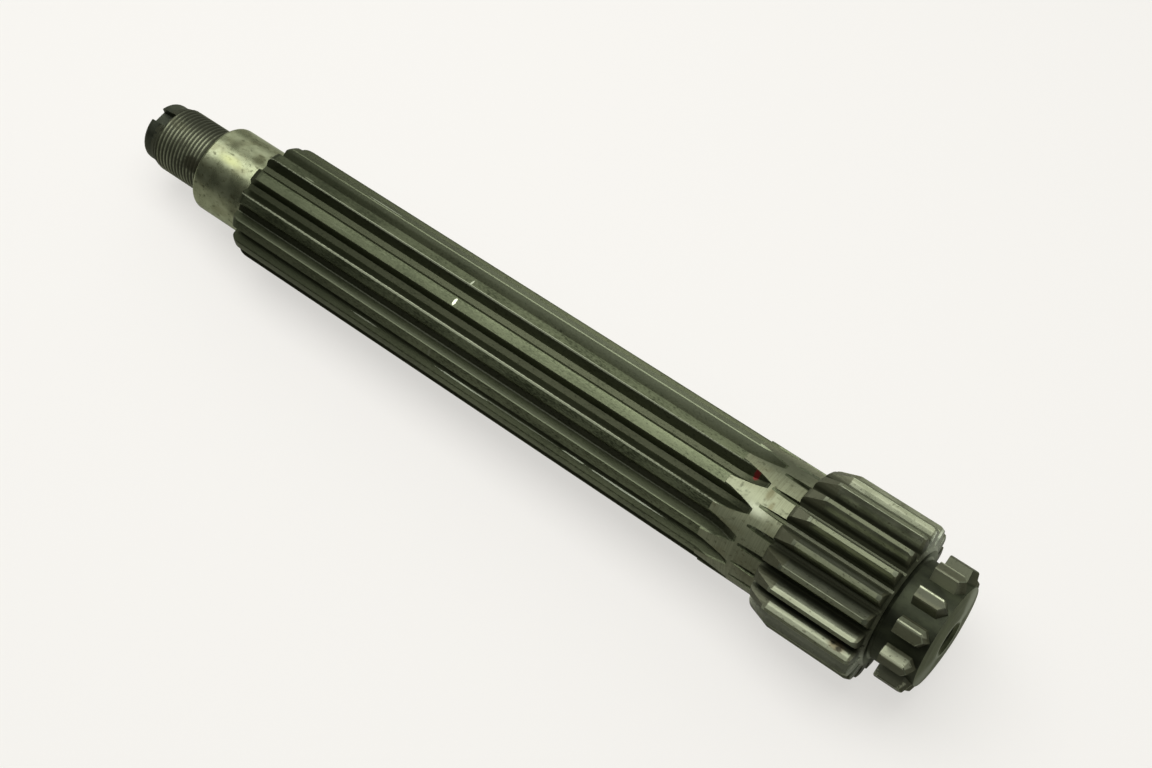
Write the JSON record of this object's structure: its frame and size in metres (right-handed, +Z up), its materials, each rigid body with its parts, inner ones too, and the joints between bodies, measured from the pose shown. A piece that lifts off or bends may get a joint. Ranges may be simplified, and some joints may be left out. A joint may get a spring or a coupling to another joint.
{
  "type": "gearbox countershaft",
  "caption": "One-piece gearbox countershaft: threaded nose, bearing journal, long splined body, ground band, integral pinion and a dog coupling at the end.",
  "frame": {"origin": "on the shaft axis, at the middle of the ground bearing journal", "axes": "+X along the shaft axis towards the dog coupling end, +Z up through a spline groove and a pinion tooth gap"},
  "size_m": [0.4106, 0.067, 0.067],
  "materials": {
    "steel": "dull oiled steel with ground bright seats"
  },
  "bodies": {
    "root": {"countershaft": "steel"}
  },
  "joints": []
}
